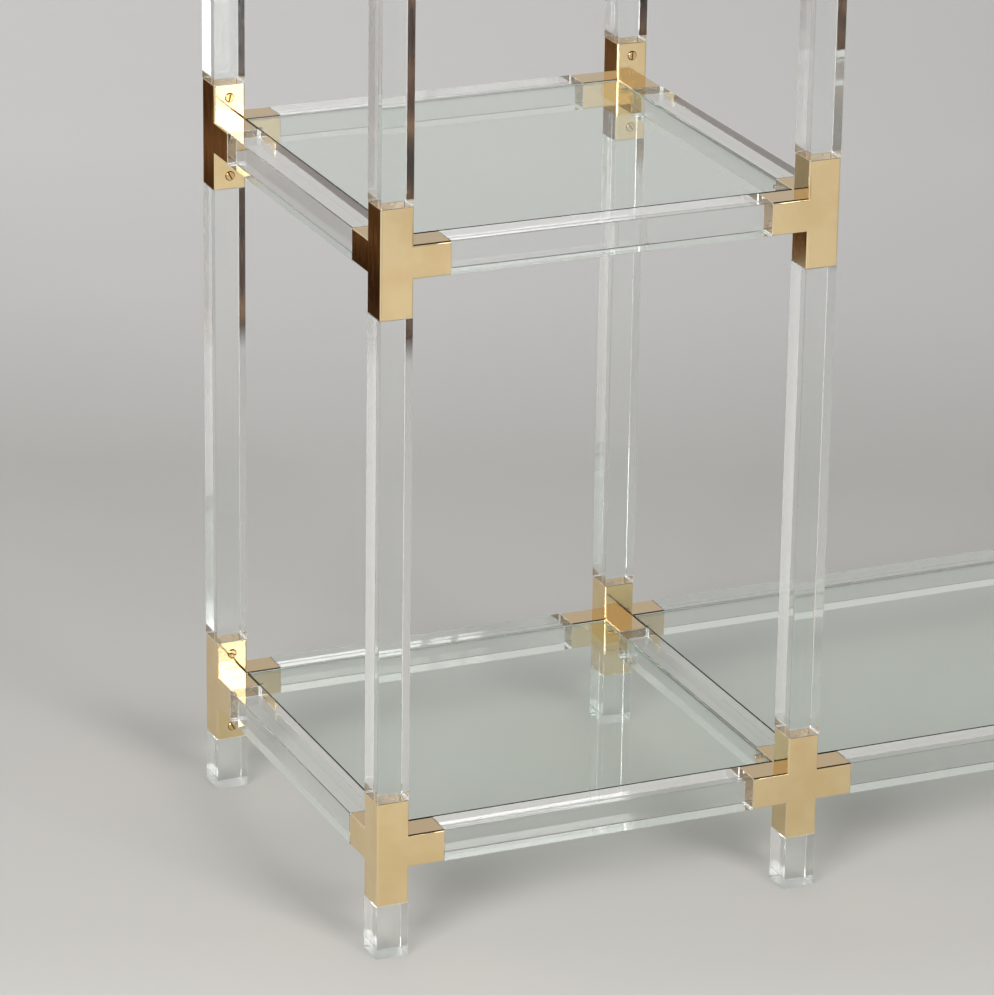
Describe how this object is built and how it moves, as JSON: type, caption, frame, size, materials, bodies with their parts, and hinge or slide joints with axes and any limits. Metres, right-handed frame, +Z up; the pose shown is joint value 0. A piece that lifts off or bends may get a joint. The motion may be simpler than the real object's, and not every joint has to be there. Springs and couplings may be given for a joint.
{
  "type": "etagere",
  "caption": "Open tower shelf of square clear acrylic bars and brass corner sleeves with glass panes, and a low side wing.",
  "frame": {"origin": "on the floor, under the middle of the footprint of the tower and its wing", "axes": "+X along the front towards the wing, +Y from the front to the back, +Z up"},
  "size_m": [1.218, 0.426, 1.725],
  "materials": {
    "brass_sleeve": "polished, with soft corners and light handling marks",
    "clear_acrylic": "clear cast acrylic, polished on all faces",
    "float_glass": "clear float glass with a green edge"
  },
  "bodies": {
    "root": {"connector_1_front_left": "brass_sleeve", "connector_1_front_right": "brass_sleeve", "connector_1_back_left": "brass_sleeve", "connector_1_back_right": "brass_sleeve", "connector_2_front_left": "brass_sleeve", "connector_2_front_right": "brass_sleeve", "connector_2_back_left": "brass_sleeve", "connector_2_back_right": "brass_sleeve", "connector_3_front_left": "brass_sleeve", "connector_3_front_right": "brass_sleeve", "connector_3_back_left": "brass_sleeve", "connector_3_back_right": "brass_sleeve", "connector_4_front_left": "brass_sleeve", "connector_4_front_right": "brass_sleeve", "connector_4_back_left": "brass_sleeve", "connector_4_back_right": "brass_sleeve", "connector_wing_front": "brass_sleeve", "connector_wing_back": "brass_sleeve", "rail_1_front": "clear_acrylic", "rail_1_back": "clear_acrylic", "rail_1_left": "clear_acrylic", "rail_1_right": "clear_acrylic", "rail_2_front": "clear_acrylic", "rail_2_back": "clear_acrylic", "rail_2_left": "clear_acrylic", "rail_2_right": "clear_acrylic", "rail_3_front": "clear_acrylic", "rail_3_back": "clear_acrylic", "rail_3_left": "clear_acrylic", "rail_3_right": "clear_acrylic", "rail_4_front": "clear_acrylic", "rail_4_back": "clear_acrylic", "rail_4_left": "clear_acrylic", "rail_4_right": "clear_acrylic", "rail_wing_front": "clear_acrylic", "rail_wing_back": "clear_acrylic", "rail_wing_end": "clear_acrylic", "post_1_front_left": "clear_acrylic", "post_1_front_right": "clear_acrylic", "post_1_back_left": "clear_acrylic", "post_1_back_right": "clear_acrylic", "post_2_front_left": "clear_acrylic", "post_2_front_right": "clear_acrylic", "post_2_back_left": "clear_acrylic", "post_2_back_right": "clear_acrylic", "post_3_front_left": "clear_acrylic", "post_3_front_right": "clear_acrylic", "post_3_back_left": "clear_acrylic", "post_3_back_right": "clear_acrylic", "foot_front_left": "clear_acrylic", "foot_front_right": "clear_acrylic", "foot_back_left": "clear_acrylic", "foot_back_right": "clear_acrylic", "foot_wing_front": "clear_acrylic", "foot_wing_back": "clear_acrylic", "pane_1": "float_glass", "pane_2": "float_glass", "pane_3": "float_glass", "pane_4": "float_glass", "pane_wing": "float_glass"}
  },
  "joints": []
}
